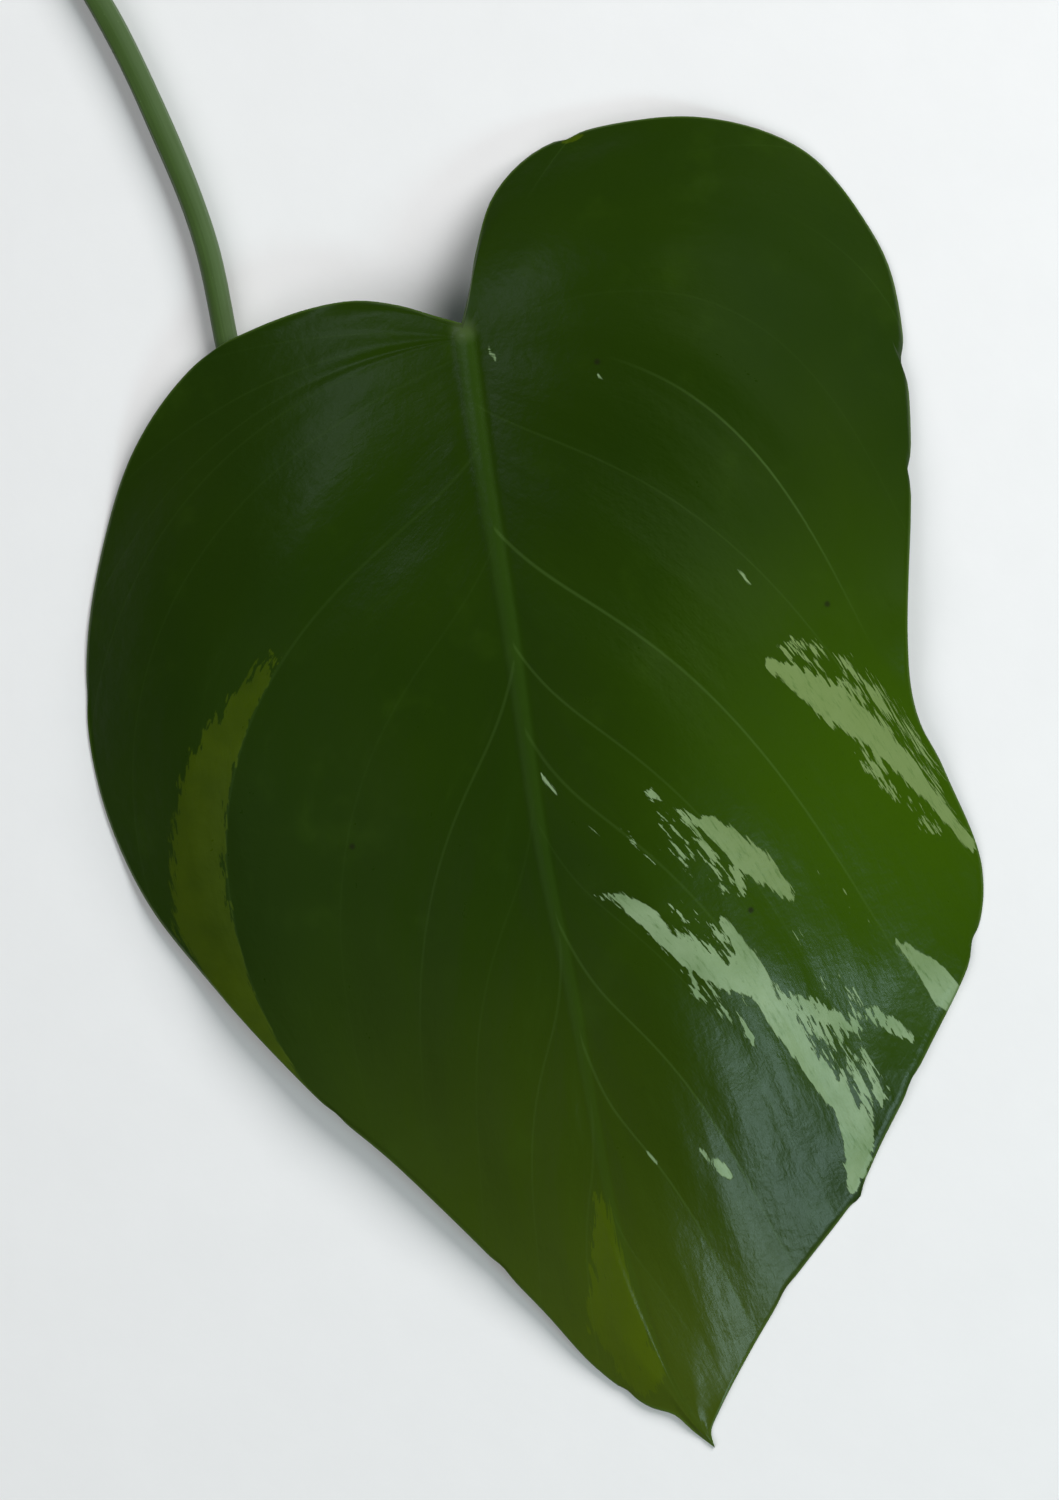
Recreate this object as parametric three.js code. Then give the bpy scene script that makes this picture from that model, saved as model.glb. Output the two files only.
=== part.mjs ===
// One heart-shaped leaf of a young climbing monstera, picked with its stalk and lying on a table.
// The blade rests on its edges and tip, arched up between them. The stalk lies beside it, passes
// under the left lobe, and rises in a bent knee to join the blade from below, just under the notch.
//
// Units are millimetres. While it is drawn, the origin is the joint of blade and stalk, +Y points from
// the tip towards the notch, +X to the leaf's right as seen from above, and Z is the height above the
// table. The finished leaf is then moved so that the origin is the middle of its footprint.
import * as THREE from "three";
import { mergeVertices } from "three/addons/utils/BufferGeometryUtils.js";

// ---- Driving dimensions ----
const BLADE_THICKNESS = 0.8;
const RIB_DEPTH = 2.6; // how far the midrib stands out below the blade at the joint
const RIB_REACH = 2.4; // how fast the rib's flanks die away sideways
const STALK_WIDTH = 5.2;
const KNEE_SWELL = 1.2; // the knee's width just before the blade, in stalk widths
const KNEE_SHARE = 0.1; // how much of the stalk's length the swelling takes
const FOOT_SWELL = 1.2; // the cut end's width, in stalk widths
const FOOT_STARTS = 0.6; // where along the stalk it starts to widen
const JOINT_HEIGHT = 17; // of the upper face, above the table
const JOINT_GAP = 0.35; // between the stalk's end and the rib above it
const STALK_TOP = JOINT_HEIGHT - BLADE_THICKNESS - RIB_DEPTH - JOINT_GAP;

// ---- How finely the surfaces are divided ----
const BLADE_ROWS = 46; // from the notch round to the tip, along the veins
const BLADE_COLUMNS = 14; // from the midrib out to the edge
const COLUMN_CROWDING = 1.5; // above 1, columns crowd towards the midrib
const STALK_STEPS = 60;
const STALK_SIDES = 12;

// ---- The blade's lines, each point [x, y, height above the table] ----
// The edge of the right half, from the notch over the lobe and down to the tip.
const RIGHT_EDGE = [
  [0, 3, JOINT_HEIGHT], [2.4, 8, 15], [6, 17, 12], [11.5, 27, 9], [20, 33.5, 7], [30, 36.2, 6],
  [43, 36.2, 5.5], [56, 34, 4.5], [67.5, 29, 3], [76.5, 21, 2], [83, 8, 1], [86, -4, 0.8],
  [84.2, -27, 3], [79, -51, 6], [72.5, -76, 8], [71.3, -90, 7], [74.5, -103, 4], [77.8, -124, 0.8],
  [73, -138.5, 1.5], [57, -159.5, 2.5], [46.7, -172.3, 2], [38.7, -182.5, 1.6], [23, -196, 1.2],
  [12, -207.5, 1.1], [3, -218, 1], [0.4, -222, 0.9], [0.5, -225.3, 0.8],
];
// The edge of the left half, which droops more.
const LEFT_EDGE = [
  [0, 3, JOINT_HEIGHT], [-5.5, 6, 16.2], [-11, 9.2, 15.4], [-19, 12.2, 14.4], [-28.5, 12.8, 13],
  [-42, 11.3, 11], [-49, 9.8, 9.6], [-59.5, 3.5, 6.5], [-70.5, -7.5, 3.5], [-79.5, -22.8, 1.6],
  [-86.6, -40.5, 0.9], [-90.6, -60, 0.8], [-90.2, -77.5, 1], [-86, -94.8, 2.2], [-76.5, -114, 4.2],
  [-61, -139.8, 7], [-48.4, -156.5, 7], [-27.4, -189.7, 4.2], [-19.3, -204, 2.8], [-10.7, -214, 1.9],
  [-6, -216.8, 1.5], [-3, -221, 1.1], [0.5, -225.3, 0.8],
];
const MIDRIB = [
  [0, 0, JOINT_HEIGHT], [-2, -25, 21], [-4, -60, 24], [-7, -100, 22], [-7.5, -130, 17.5], [-9, -165, 11],
  [-8.8, -180, 8.5], [-5, -210, 3.8], [0.5, -225.3, 0.8],
];

// ---- How the veins run ----
// A row of the blade follows the side veins. The rows up to FAN_SHARE fan out of the joint into the
// lobes, and the others leave the midrib one after another.
const FAN_SHARE = 0.42;
const MIDRIB_CROWDING = 1.8; // above 1, rows crowd towards the joint
// [row, share of the right edge that it has reached, the same for the left edge]
const REACH = [
  [0, 0, 0], [0.21, 0.27, 0.25], [0.42, 0.535, 0.46], [0.5, 0.605, 0.56], [0.6, 0.695, 0.675],
  [0.7, 0.778, 0.745], [0.8, 0.86, 0.82], [0.9, 0.95, 0.914], [1, 1, 1],
];
// [share of the edge, how far a vein bows towards the notch as a share of its length, and how much of
// the bow lies near the midrib (above 1) or near the edge (below 1)]
const RIGHT_BOW = [
  [0, 0, 1], [0.05, 0, 1], [0.12, 0.037, 1], [0.2, 0.12, 0.9], [0.3, 0.2, 0.8], [0.374, 0.31, 0.8],
  [0.47, 0.27, 1.1], [0.568, 0.18, 1.5], [0.64, 0.12, 1.5], [0.74, 0.09, 1.5], [0.9, 0.07, 1.5], [1, 0, 1.5],
];
const LEFT_BOW = [
  [0, 0, 1], [0.134, 0.03, 1], [0.356, 0.14, 1], [0.469, 0.19, 0.9], [0.68, 0.25, 0.9], [0.742, 0.12, 1.3],
  [0.861, 0.08, 1.5], [0.911, 0.06, 1.5], [1, 0, 1.5],
];
// [row, height of the arch between midrib and edge on the right, the same on the left]
const ARCH = [
  [0, 0, 0], [0.12, 1.5, 1.5], [0.25, 3.5, 2.5], [0.42, 5, 4], [0.6, 6.5, 4], [0.75, 6.5, 2.5],
  [0.9, 2.2, 0.5], [1, 0, 0],
];
const ARCH_CREST = 27 / 4; // makes u (1 - u)^2 reach 1, a third of the way out from the midrib
const DROOP = { right: 1.2, left: 1.15 }; // above 1, the half stays high and falls near its edge

// ---- The stalk's centre line, from the joint to the cut end ----
const STALK_LINE = [
  [0, 0.2, STALK_TOP], [0, 0.2, 11.9], [-1.1, -2.6, 9.8], [-4, -7.4, 7.4], [-8.8, -12, 5.2],
  [-15.5, -16.6, 3.7], [-25.1, -20, 2.9], [-36.2, -19, 2.6], [-44, -11.3, 2.6], [-46.7, -0.5, 2.6],
  [-46.4, 11, 2.6], [-46.2, 31.8, 2.6], [-49.5, 54.3, 2.6], [-56.5, 83.2, 2.7], [-68, 110, 2.9],
  [-82, 134, 3.12],
];

const curveThrough = (points) =>
  new THREE.CatmullRomCurve3(points.map((p) => new THREE.Vector3(...p)), false, "centripetal");

// A smooth value from a table of [x, value, ...] rows: a cubic whose slopes come from the neighbours.
function fromTable(table, x, column = 1) {
  const last = table.length - 1;
  let i = 0;
  while (i < last - 1 && x > table[i + 1][0]) i += 1;
  const slopeAt = (k) => {
    const before = table[Math.max(k - 1, 0)];
    const after = table[Math.min(k + 1, last)];
    return (after[column] - before[column]) / (after[0] - before[0]);
  };
  const width = table[i + 1][0] - table[i][0];
  const w = THREE.MathUtils.clamp((x - table[i][0]) / width, 0, 1);
  const rise = w * w * (3 - 2 * w);
  return (
    table[i][column] * (1 - rise) +
    table[i + 1][column] * rise +
    width * (w * (1 - w) * (1 - w) * slopeAt(i) - w * w * (1 - w) * slopeAt(i + 1))
  );
}

const midrib = curveThrough(MIDRIB);
const halves = {
  right: { edge: curveThrough(RIGHT_EDGE), bow: RIGHT_BOW, column: 1, turn: 1 },
  left: { edge: curveThrough(LEFT_EDGE), bow: LEFT_BOW, column: 2, turn: -1 },
};

// A vein's sideways bow along its length: u (1 - u)^gather, scaled so that its greatest value is 1.
function bowProfile(u, gather) {
  const crest = (gather / (1 + gather)) ** gather / (1 + gather);
  return (u * (1 - u) ** gather) / crest;
}

// A point of the blade's upper face and the blade's depth there. The row runs from the notch (0) to the
// tip (1), and u runs along a vein from the midrib (0) to the edge (1). Seen from above a vein is the
// straight line between its two ends, pushed sideways by its bow.
function bladePoint(side, row, u) {
  const { edge, bow, column, turn } = halves[side];
  const along = Math.max(0, (row - FAN_SHARE) / (1 - FAN_SHARE)) ** MIDRIB_CROWDING;
  const reach = THREE.MathUtils.clamp(fromTable(REACH, row, column), 0, 1);
  const start = midrib.getPointAt(along);
  const end = edge.getPointAt(reach);
  const bowing = fromTable(bow, reach, 1) * turn * bowProfile(u, fromTable(bow, reach, 2));
  const x = start.x + (end.x - start.x) * u - (end.y - start.y) * bowing;
  const y = start.y + (end.y - start.y) * u + (end.x - start.x) * bowing;
  const fall = u ** DROOP[side];
  const arch = fromTable(ARCH, row, column) * ARCH_CREST * u * (1 - u) ** 2;
  const z = start.z * (1 - fall) + end.z * fall + arch;
  const fromRib = Math.hypot(x - start.x, y - start.y) / RIB_REACH;
  const rib = RIB_DEPTH * (1 - along) * Math.exp(-fromRib * fromRib);
  return { top: new THREE.Vector3(x, y, z), depth: BLADE_THICKNESS + rib };
}

// A closed body from triangles given as points, with equal points merged and flat triangles dropped.
function closedBody(triangles) {
  const loose = new THREE.BufferGeometry().setFromPoints(triangles.flat());
  const merged = mergeVertices(loose, 1e-3);
  const corners = merged.index.array;
  const kept = [];
  for (let i = 0; i < corners.length; i += 3) {
    const [a, b, c] = corners.slice(i, i + 3);
    if (a !== b && b !== c && c !== a) kept.push(a, b, c);
  }
  merged.setIndex(kept);
  merged.computeVertexNormals();
  return merged;
}

function bladeBody() {
  const triangles = [];
  const quad = (a, b, c, d) => triangles.push([a, b, c], [a, c, d]);
  const below = ({ top, depth }) => new THREE.Vector3(top.x, top.y, top.z - depth);
  for (const side of ["right", "left"]) {
    const grid = [];
    for (let i = 0; i <= BLADE_ROWS; i += 1) {
      const line = [];
      for (let j = 0; j <= BLADE_COLUMNS; j += 1) {
        line.push(bladePoint(side, i / BLADE_ROWS, (j / BLADE_COLUMNS) ** COLUMN_CROWDING));
      }
      grid.push(line);
    }
    // The left half is a mirror of the right one, so its faces are wound the other way.
    const face = side === "right" ? quad : (a, b, c, d) => quad(d, c, b, a);
    for (let i = 0; i < BLADE_ROWS; i += 1) {
      for (let j = 0; j < BLADE_COLUMNS; j += 1) {
        const [a, b, c, d] = [grid[i][j], grid[i + 1][j], grid[i + 1][j + 1], grid[i][j + 1]];
        face(a.top, b.top, c.top, d.top);
        face(below(d), below(c), below(b), below(a));
      }
      const [here, next] = [grid[i][BLADE_COLUMNS], grid[i + 1][BLADE_COLUMNS]];
      face(here.top, next.top, below(next), below(here));
    }
  }
  return closedBody(triangles);
}

// How wide the stalk is at a share of its length, in stalk widths.
function stalkSwell(share) {
  const knee = Math.exp(-((share / KNEE_SHARE) ** 2));
  const foot = THREE.MathUtils.smoothstep(share, FOOT_STARTS, 1);
  return 1 + (KNEE_SWELL - 1) * knee + (FOOT_SWELL - 1) * foot;
}

// The stalk is a round section carried along its line. Each ring of it is then widened about its centre.
function stalkBody() {
  const line = curveThrough(STALK_LINE);
  const section = new THREE.Shape().absarc(0, 0, STALK_WIDTH / 2, 0, 2 * Math.PI);
  const tube = new THREE.ExtrudeGeometry(section, {
    extrudePath: line,
    steps: STALK_STEPS,
    curveSegments: STALK_SIDES / 2, // a full circle gets two sides for each
    bevelEnabled: false,
  });
  const centres = line.getSpacedPoints(STALK_STEPS);
  const places = tube.getAttribute("position");
  const vertex = new THREE.Vector3();
  for (let i = 0; i < places.count; i += 1) {
    vertex.fromBufferAttribute(places, i);
    const distances = centres.map((centre) => centre.distanceTo(vertex));
    const ring = distances.indexOf(Math.min(...distances));
    vertex.sub(centres[ring]).multiplyScalar(stalkSwell(ring / STALK_STEPS)).add(centres[ring]);
    places.setXYZ(i, vertex.x, vertex.y, vertex.z);
  }
  return tube;
}

const blade = new THREE.Mesh(
  bladeBody(),
  new THREE.MeshStandardMaterial({ color: 0x203a0a, roughness: 0.45, metalness: 0 }),
);
blade.name = "leaf_blade";

const stalk = new THREE.Mesh(
  stalkBody(),
  new THREE.MeshStandardMaterial({ color: 0x4d7344, roughness: 0.5, metalness: 0 }),
);
stalk.name = "leaf_stalk";

const leaf = new THREE.Group();
leaf.add(blade, stalk);

// The origin goes to the middle of the footprint, at table height.
const bounds = new THREE.Box3().setFromObject(leaf);
const middle = bounds.getCenter(new THREE.Vector3());
leaf.position.set(-middle.x, -middle.y, -bounds.min.z);

export default leaf;
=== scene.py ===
# %% [markdown]
# # A picked monstera leaf
# One heart-shaped leaf of a young climbing monstera lies on a pale table with its glossy side up. It has
# two pieces, the blade and the stalk, and both grew in one go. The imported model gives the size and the
# place of each. This file makes their fine surfaces. Lengths are in millimetres until they reach a mesh.

import math

import bpy
import numpy as np
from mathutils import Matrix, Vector


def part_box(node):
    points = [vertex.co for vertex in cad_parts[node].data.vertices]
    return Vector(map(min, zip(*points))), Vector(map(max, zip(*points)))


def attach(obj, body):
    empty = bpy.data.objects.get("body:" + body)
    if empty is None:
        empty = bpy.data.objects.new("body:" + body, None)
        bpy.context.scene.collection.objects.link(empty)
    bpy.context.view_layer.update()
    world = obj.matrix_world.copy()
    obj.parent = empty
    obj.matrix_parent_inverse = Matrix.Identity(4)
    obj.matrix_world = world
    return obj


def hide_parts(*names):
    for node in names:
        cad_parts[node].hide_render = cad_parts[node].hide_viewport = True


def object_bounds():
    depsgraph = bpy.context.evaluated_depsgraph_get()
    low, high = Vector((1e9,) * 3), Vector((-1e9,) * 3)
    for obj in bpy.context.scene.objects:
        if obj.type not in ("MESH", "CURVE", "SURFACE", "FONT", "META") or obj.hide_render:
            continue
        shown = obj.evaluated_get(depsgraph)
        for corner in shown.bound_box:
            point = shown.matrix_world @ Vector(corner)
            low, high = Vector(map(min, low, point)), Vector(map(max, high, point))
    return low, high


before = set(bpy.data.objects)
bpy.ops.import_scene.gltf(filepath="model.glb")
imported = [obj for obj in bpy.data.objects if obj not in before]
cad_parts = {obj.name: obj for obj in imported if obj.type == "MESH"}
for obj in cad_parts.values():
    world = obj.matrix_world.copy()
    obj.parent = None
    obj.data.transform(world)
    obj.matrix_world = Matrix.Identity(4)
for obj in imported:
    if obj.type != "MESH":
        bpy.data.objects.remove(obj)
cad_low, cad_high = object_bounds()
MM = 0.001
print("packed nodes:", sorted(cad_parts))

# %% [markdown]
# ## The lines that the blade hangs on
# A leaf is easiest to draw the way that it grew: a midrib, an edge on each side, and veins that run from
# the one to the other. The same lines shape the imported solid. They could be traced again over the packed
# mesh, but stating them keeps the veins, which the solid doesn't hold. The origin is the joint of blade
# and stalk, the tip points to -Y, and the third number is the height above the table.

# %% State the blade's lines and tables
JOINT_HEIGHT = 17
RIGHT_EDGE = [
    (0, 3, JOINT_HEIGHT), (2.4, 8, 15), (6, 17, 12), (11.5, 27, 9), (20, 33.5, 7), (30, 36.2, 6),
    (43, 36.2, 5.5), (56, 34, 4.5), (67.5, 29, 3), (76.5, 21, 2), (83, 8, 1), (86, -4, 0.8),
    (84.2, -27, 3), (79, -51, 6), (72.5, -76, 8), (71.3, -90, 7), (74.5, -103, 4), (77.8, -124, 0.8),
    (73, -138.5, 1.5), (57, -159.5, 2.5), (46.7, -172.3, 2), (38.7, -182.5, 1.6), (23, -196, 1.2),
    (12, -207.5, 1.1), (3, -218, 1), (0.4, -222, 0.9), (0.5, -225.3, 0.8),
]
LEFT_EDGE = [
    (0, 3, JOINT_HEIGHT), (-5.5, 6, 16.2), (-11, 9.2, 15.4), (-19, 12.2, 14.4), (-28.5, 12.8, 13),
    (-42, 11.3, 11), (-49, 9.8, 9.6), (-59.5, 3.5, 6.5), (-70.5, -7.5, 3.5), (-79.5, -22.8, 1.6),
    (-86.6, -40.5, 0.9), (-90.6, -60, 0.8), (-90.2, -77.5, 1), (-86, -94.8, 2.2), (-76.5, -114, 4.2),
    (-61, -139.8, 7), (-48.4, -156.5, 7), (-27.4, -189.7, 4.2), (-19.3, -204, 2.8), (-10.7, -214, 1.9),
    (-6, -216.8, 1.5), (-3, -221, 1.1), (0.5, -225.3, 0.8),
]
MIDRIB = [
    (0, 0, JOINT_HEIGHT), (-2, -25, 21), (-4, -60, 24), (-7, -100, 22), (-7.5, -130, 17.5),
    (-9, -165, 11), (-8.8, -180, 8.5), (-5, -210, 3.8), (0.5, -225.3, 0.8),
]
# Rows are numbered 0 at the notch to 1 at the tip. Up to FAN_SHARE they fan out of the joint, and after
# it they leave the midrib one after another.
FAN_SHARE = 0.42
MIDRIB_CROWDING = 1.8
# (row, share of the right edge that it has reached, the same for the left edge)
REACH = [
    (0, 0, 0), (0.21, 0.27, 0.25), (0.42, 0.535, 0.46), (0.5, 0.605, 0.56), (0.6, 0.695, 0.675),
    (0.7, 0.778, 0.745), (0.8, 0.86, 0.82), (0.9, 0.95, 0.914), (1, 1, 1),
]
# (share of the edge, a vein's bow as a share of its length, how much of the bow lies near the midrib)
RIGHT_BOW = [
    (0, 0, 1), (0.05, 0, 1), (0.12, 0.037, 1), (0.2, 0.12, 0.9), (0.3, 0.2, 0.8), (0.374, 0.31, 0.8),
    (0.47, 0.27, 1.1), (0.568, 0.18, 1.5), (0.64, 0.12, 1.5), (0.74, 0.09, 1.5), (0.9, 0.07, 1.5),
    (1, 0, 1.5),
]
LEFT_BOW = [
    (0, 0, 1), (0.134, 0.03, 1), (0.356, 0.14, 1), (0.469, 0.19, 0.9), (0.68, 0.25, 0.9),
    (0.742, 0.12, 1.3), (0.861, 0.08, 1.5), (0.911, 0.06, 1.5), (1, 0, 1.5),
]
# (row, height of the arch between midrib and edge on the right, the same for the left)
ARCH = [
    (0, 0, 0), (0.12, 1.5, 1.5), (0.25, 3.5, 2.5), (0.42, 5, 4), (0.6, 6.5, 4), (0.75, 6.5, 2.5),
    (0.9, 2.2, 0.5), (1, 0, 0),
]
ARCH_CREST = 27 / 4  # makes u (1 - u)^2 reach 1, a third of the way out from the midrib
DROOP = (1.2, 1.15)  # right and left: above 1, a half stays high and falls near its edge

# %% [markdown]
# ## Curves and tables as whole arrays
# Blender's own curves could draw the edges, but the veins need the edge's place at any share of its
# length. So a curve here is an array of places with the share of the length at each, and reading it is
# one interpolation. A table is read with the same kind of cubic, so nothing kinks where a row is given.

# %% Define curves and tables
def curve_through(points, steps=60):
    """A smooth curve through the points. On each span it is the cubic whose slope at both ends follows
    the neighbouring points, weighted by the square roots of the spans (a centripetal Catmull-Rom curve).
    Gives the places along it, and each place's share of the whole length."""
    p = np.array(points, float)
    p = np.vstack([2 * p[0] - p[1], p, 2 * p[-1] - p[-2]])
    root = np.sqrt(np.linalg.norm(np.diff(p, axis=0), axis=1))[:, None]
    a, b, c, d = p[:-3], p[1:-2], p[2:-1], p[3:]
    ab, bc, cd = root[:-2], root[1:-1], root[2:]
    slope_b = bc * ((b - a) / ab - (c - a) / (ab + bc) + (c - b) / bc)
    slope_c = bc * ((c - b) / bc - (d - b) / (bc + cd) + (d - c) / cd)
    w = np.linspace(0, 1, steps, endpoint=False)[None, :, None]
    b, c, slope_b, slope_c = b[:, None], c[:, None], slope_b[:, None], slope_c[:, None]
    rise = w * w * (3 - 2 * w)
    places = b * (1 - rise) + c * rise + w * (1 - w) * ((1 - w) * slope_b - w * slope_c)
    places = np.vstack([places.reshape(-1, p.shape[1]), p[-2]])
    length = np.append(0, np.cumsum(np.linalg.norm(np.diff(places, axis=0), axis=1)))
    return places, length / length[-1]


def at_share(curve, share):
    """The curve's place at each share of its length, 0 at its start and 1 at its end."""
    places, shares = curve
    return np.stack([np.interp(share, shares, places[:, k]) for k in range(places.shape[1])], axis=-1)


def from_table(table, x, column=1):
    """A smooth value read from a table of (x, value, ...) rows: a cubic between rows, whose slope at a
    row is that of the line through its two neighbours."""
    rows = np.array(table, float)
    knots, values = rows[:, 0], rows[:, column]
    last = len(knots) - 1
    before = np.maximum(np.arange(last + 1) - 1, 0)
    after = np.minimum(np.arange(last + 1) + 1, last)
    slopes = (values[after] - values[before]) / (knots[after] - knots[before])
    i = np.clip(np.searchsorted(knots, x, side="right") - 1, 0, last - 1)
    width = knots[i + 1] - knots[i]
    w = np.clip((x - knots[i]) / width, 0, 1)
    rise = w * w * (3 - 2 * w)
    bend = w * (1 - w) * ((1 - w) * slopes[i] - w * slopes[i + 1])
    return values[i] * (1 - rise) + values[i + 1] * rise + width * bend


def smooth_step(x, low, high):
    """0 below low, 1 above high, and a smooth S between them."""
    w = np.clip((x - low) / (high - low), 0, 1)
    return w * w * (3 - 2 * w)


def distance_to_line(xy, line):
    """Distance from every point of xy to a line of straight pieces: the least distance to any piece,
    and the share of the way along that piece where it is reached."""
    nearest = np.full(xy.shape[:-1], np.inf)
    place = np.zeros(xy.shape[:-1])
    line = np.array(line, float)
    for k, (start, end) in enumerate(zip(line[:-1, :2], line[1:, :2])):
        along = end - start
        w = np.clip(((xy - start) @ along) / max(along @ along, 1e-9), 0, 1)
        away = np.linalg.norm(xy - start - w[..., None] * along, axis=-1)
        place = np.where(away < nearest, k + w, place)
        nearest = np.minimum(nearest, away)
    return nearest, place


EDGES = (curve_through(RIGHT_EDGE), curve_through(LEFT_EDGE))
BOWS = (RIGHT_BOW, LEFT_BOW)
TURNS = (1, -1)  # a bow swings towards the notch on both halves
MIDRIB_CURVE = curve_through(MIDRIB)
RIGHT, LEFT = 0, 1
print("places on the edges:", [len(places) for places, _ in EDGES])

# %% [markdown]
# ## The veins
# A monstera's side veins leave the midrib in a short curve, as a branch leaves a road, and then swing out
# to the edge. The table holds the ones that show. Their rows are also where the surface is pulled down,
# because the tissue between veins grows a little more than they do and swells up like a quilt.

# %% State the veins
# (row, half width at the midrib, and how clearly it shows at the midrib, halfway, and at the edge). A
# vein that starts below 0 is only seen further out.
RIGHT_VEINS = [
    (0.1, 0.25, -0.8, -0.1, 0.3), (0.2, 0.25, -0.5, -0.1, 0.15), (0.285, 0.28, -0.9, -0.1, 0.2),
    (0.37, 0.25, 0, 0.1, 0.1), (0.46, 0.34, -0.4, 0.65, -0.2), (0.56, 0.25, 0.1, 0.2, 0.1),
    (0.656, 0.34, 0.4, 0.42, 0.12), (0.72, 0.28, 0.35, 0.12, 0.05), (0.76, 0.32, 0.25, 0.22, 0.1),
    (0.8, 0.2, 0.1, 0.15, 0.1), (0.838, 0.28, 0.3, 0.35, 0.2), (0.88, 0.28, 0.3, 0.3, 0.2),
    (0.93, 0.2, 0.15, 0.15, 0.1),
]
LEFT_VEINS = [
    (0.14, 0.25, 0, 0.08, 0.06), (0.22, 0.28, 0, 0.12, 0.08), (0.3, 0.25, 0, 0.1, 0.08),
    (0.38, 0.28, 0, 0.12, 0.08), (0.48, 0.28, 0.05, 0.1, 0.08), (0.6, 0.36, 0.1, 0.15, 0.15),
    (0.665, 0.25, 0.05, 0.08, 0.06), (0.728, 0.3, 0.25, 0.12, 0), (0.79, 0.25, 0.05, 0.1, 0.08),
    (0.845, 0.28, 0.15, 0.15, 0.1), (0.9, 0.28, 0.12, 0.12, 0.08),
]
VEINS = (RIGHT_VEINS, LEFT_VEINS)
# (row, depth of a nick in the edge, its half width in rows), right and left
NICKS = (
    [(0.098, 0.9, 0.004), (0.297, 1.1, 0.006), (0.342, 0.8, 0.005), (0.47, 0.4, 0.01), (0.604, 0.9, 0.008),
     (0.7, 0.5, 0.008), (0.781, -0.9, 0.006), (0.85, 0.5, 0.008)],
    [(0.13, 0.4, 0.008), (0.35, 0.3, 0.01), (0.62, 0.35, 0.008), (0.81, 0.5, 0.008), (0.925, 0.6, 0.006)],
)
TUCK = 0.022  # how many rows nearer the joint a vein leaves the midrib than its later course would
TUCK_REACH = 0.05  # the share of its length over which it swings out
NICK_REACH = 20  # a nick fades inwards as u to this power
print("veins:", len(RIGHT_VEINS), "right,", len(LEFT_VEINS), "left")


def tucked_rows(row, u):
    """The row that a grid line really follows: its own row, less a tuck that dies away with u as
    exp(-u / TUCK_REACH), and that fades out in the fan and towards the tip."""
    x = (row - FAN_SHARE) / (1 - FAN_SHARE)
    fade = smooth_step(x, 0, 0.3) * (1 - smooth_step(x, 0.75, 0.98))
    return row - TUCK * fade * np.exp(-u / TUCK_REACH)


def half_blade(half, row, u):
    """Places on one half's upper face. Seen from above, a vein is the straight line from midrib to edge,
    pushed sideways by bow * length * u (1 - u)^gather, and a nick shortens its last stretch. Its height
    falls from the midrib's to the edge's as u^droop, with an arch of u (1 - u)^2 on top. Also gives the
    share of the midrib where the vein leaves it, and the distance out along the vein."""
    row = tucked_rows(row, u)
    along = np.clip((row - FAN_SHARE) / (1 - FAN_SHARE), 0, 1) ** MIDRIB_CROWDING
    reach = np.clip(from_table(REACH, row, 1 + half), 0, 1)
    start, end = at_share(MIDRIB_CURVE, along), at_share(EDGES[half], reach)
    gather = from_table(BOWS[half], reach, 2)
    crest = (gather / (1 + gather)) ** gather / (1 + gather)
    bowing = from_table(BOWS[half], reach) * TURNS[half] * u * (1 - u) ** gather / crest
    span = end - start
    length = np.maximum(np.linalg.norm(span, axis=-1), 1e-6)
    nick = sum(depth * np.exp(-(((row - place) / width) ** 2)) for place, depth, width in NICKS[half])
    span = span * (1 - nick * u**NICK_REACH / length)[..., None]
    x = start[..., 0] + span[..., 0] * u - span[..., 1] * bowing
    y = start[..., 1] + span[..., 1] * u + span[..., 0] * bowing
    fall = u ** DROOP[half]
    arch = from_table(ARCH, row, 1 + half) * ARCH_CREST * u * (1 - u) ** 2
    z = start[..., 2] * (1 - fall) + end[..., 2] * fall + arch
    return np.stack([x, y, z], axis=-1), along * np.ones_like(u), length * u


# %% [markdown]
# ## The sheet between the veins
# Where rows bunch up in the lobes, a small change from one to the next would make a sharp fold, and a
# real leaf bends softly there. So the heights aren't used as they are. The height at a point is read
# off the plane that best fits the sheet around it.

# %% Define the soft sheet
SOFTNESS = 8  # how far a point's neighbourhood reaches
SHEET_ROWS, SHEET_COLUMNS = 76, 25  # samples on each half


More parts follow.
